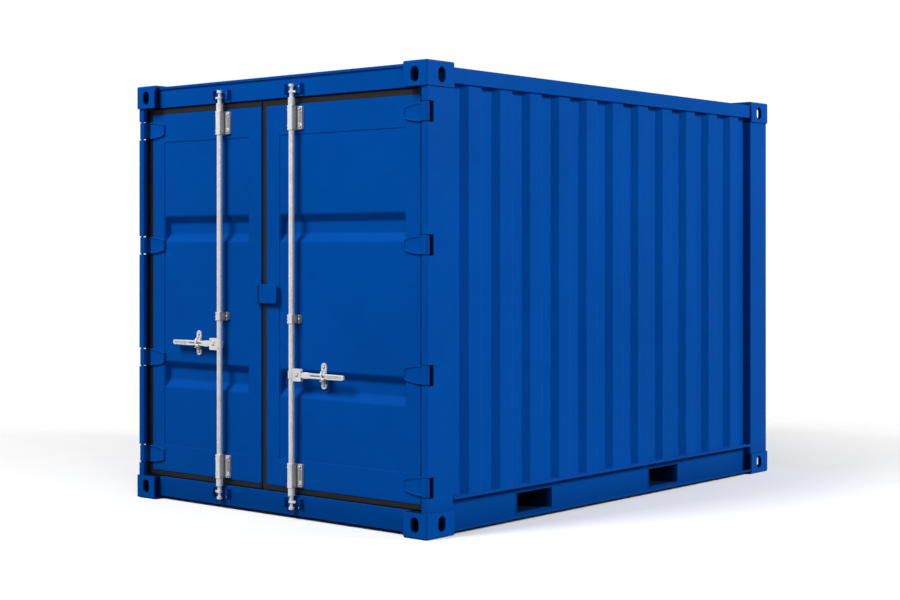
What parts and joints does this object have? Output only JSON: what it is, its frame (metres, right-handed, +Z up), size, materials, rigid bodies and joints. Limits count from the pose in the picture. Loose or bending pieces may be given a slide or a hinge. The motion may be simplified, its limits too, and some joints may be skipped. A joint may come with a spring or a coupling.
{
  "type": "shipping container",
  "caption": "Steel shipping container with corrugated walls, cast corners, fork pockets and two hinged end doors with lock bars.",
  "frame": {"origin": "middle of the footprint, level with the undersides of the bottom corner castings", "axes": "+Y from the door end to the closed end, +X to the right seen from the doors, +Z up"},
  "size_m": [2.438, 3.658, 2.591],
  "materials": {
    "blue_paint": "satin blue paint",
    "lock_gear": "zinc coated steel",
    "door_seal": "black rubber",
    "floor_boards": "sealed plywood"
  },
  "bodies": {
    "container": {"bottom_side_rail_left": "blue_paint", "bottom_side_rail_right": "blue_paint", "casting_front_bottom_left": "blue_paint", "casting_front_bottom_right": "blue_paint", "casting_front_top_left": "blue_paint", "casting_front_top_right": "blue_paint", "casting_rear_bottom_left": "blue_paint", "casting_rear_bottom_right": "blue_paint", "casting_rear_top_left": "blue_paint", "casting_rear_top_right": "blue_paint", "cross_members": "blue_paint", "door_header": "blue_paint", "door_sill": "blue_paint", "floor": "floor_boards", "fork_pockets": "blue_paint", "post_front_left": "blue_paint", "post_front_right": "blue_paint", "post_rear_left": "blue_paint", "post_rear_right": "blue_paint", "rear_bottom_rail": "blue_paint", "rear_top_rail": "blue_paint", "rear_wall": "blue_paint", "roof": "blue_paint", "side_wall_left": "blue_paint", "side_wall_right": "blue_paint", "top_side_rail_left": "blue_paint", "top_side_rail_right": "blue_paint"},
    "left_door": {"left_door_frame": "blue_paint", "left_door_panel": "blue_paint", "left_door_gasket": "door_seal", "left_bar_brackets": "lock_gear", "left_handle_catch": "lock_gear", "left_lock_plate": "blue_paint", "door_hinges_left": "blue_paint"},
    "right_door": {"right_door_frame": "blue_paint", "right_door_panel": "blue_paint", "right_door_gasket": "door_seal", "right_bar_brackets": "lock_gear", "right_handle_catch": "lock_gear", "right_lock_plate": "blue_paint", "door_hinges_right": "blue_paint"},
    "left_bar": {"left_lock_bar": "lock_gear"},
    "right_bar": {"right_lock_bar": "lock_gear"},
    "left_lever": {"left_handle": "lock_gear"},
    "right_lever": {"right_handle": "lock_gear"}
  },
  "joints": [
    {"name": "right_door_hinge", "type": "hinge", "parent": "container", "child": "right_door", "pos_m": [1.195, -1.802, 1.294], "axis": [0, 0, 1], "range_deg": [0, 265]},
    {"name": "right_bar_turn", "type": "hinge", "parent": "right_door", "child": "right_bar", "pos_m": [0.159, -1.808, 1.29], "axis": [0, 0, 1], "range_deg": [-110, 0]},
    {"name": "right_handle_lift", "type": "hinge", "parent": "right_bar", "child": "right_lever", "pos_m": [0.209, -1.808, 0.84], "axis": [0, -1, 0], "range_deg": [0, 25]},
    {"name": "left_door_hinge", "type": "hinge", "parent": "container", "child": "left_door", "pos_m": [-1.195, -1.802, 1.294], "axis": [0, 0, -1], "range_deg": [0, 265]},
    {"name": "left_bar_turn", "type": "hinge", "parent": "left_door", "child": "left_bar", "pos_m": [-0.461, -1.808, 1.29], "axis": [0, 0, -1], "range_deg": [-110, 0]},
    {"name": "left_handle_lift", "type": "hinge", "parent": "left_bar", "child": "left_lever", "pos_m": [-0.511, -1.808, 0.992], "axis": [0, 1, 0], "range_deg": [0, 25]}
  ]
}
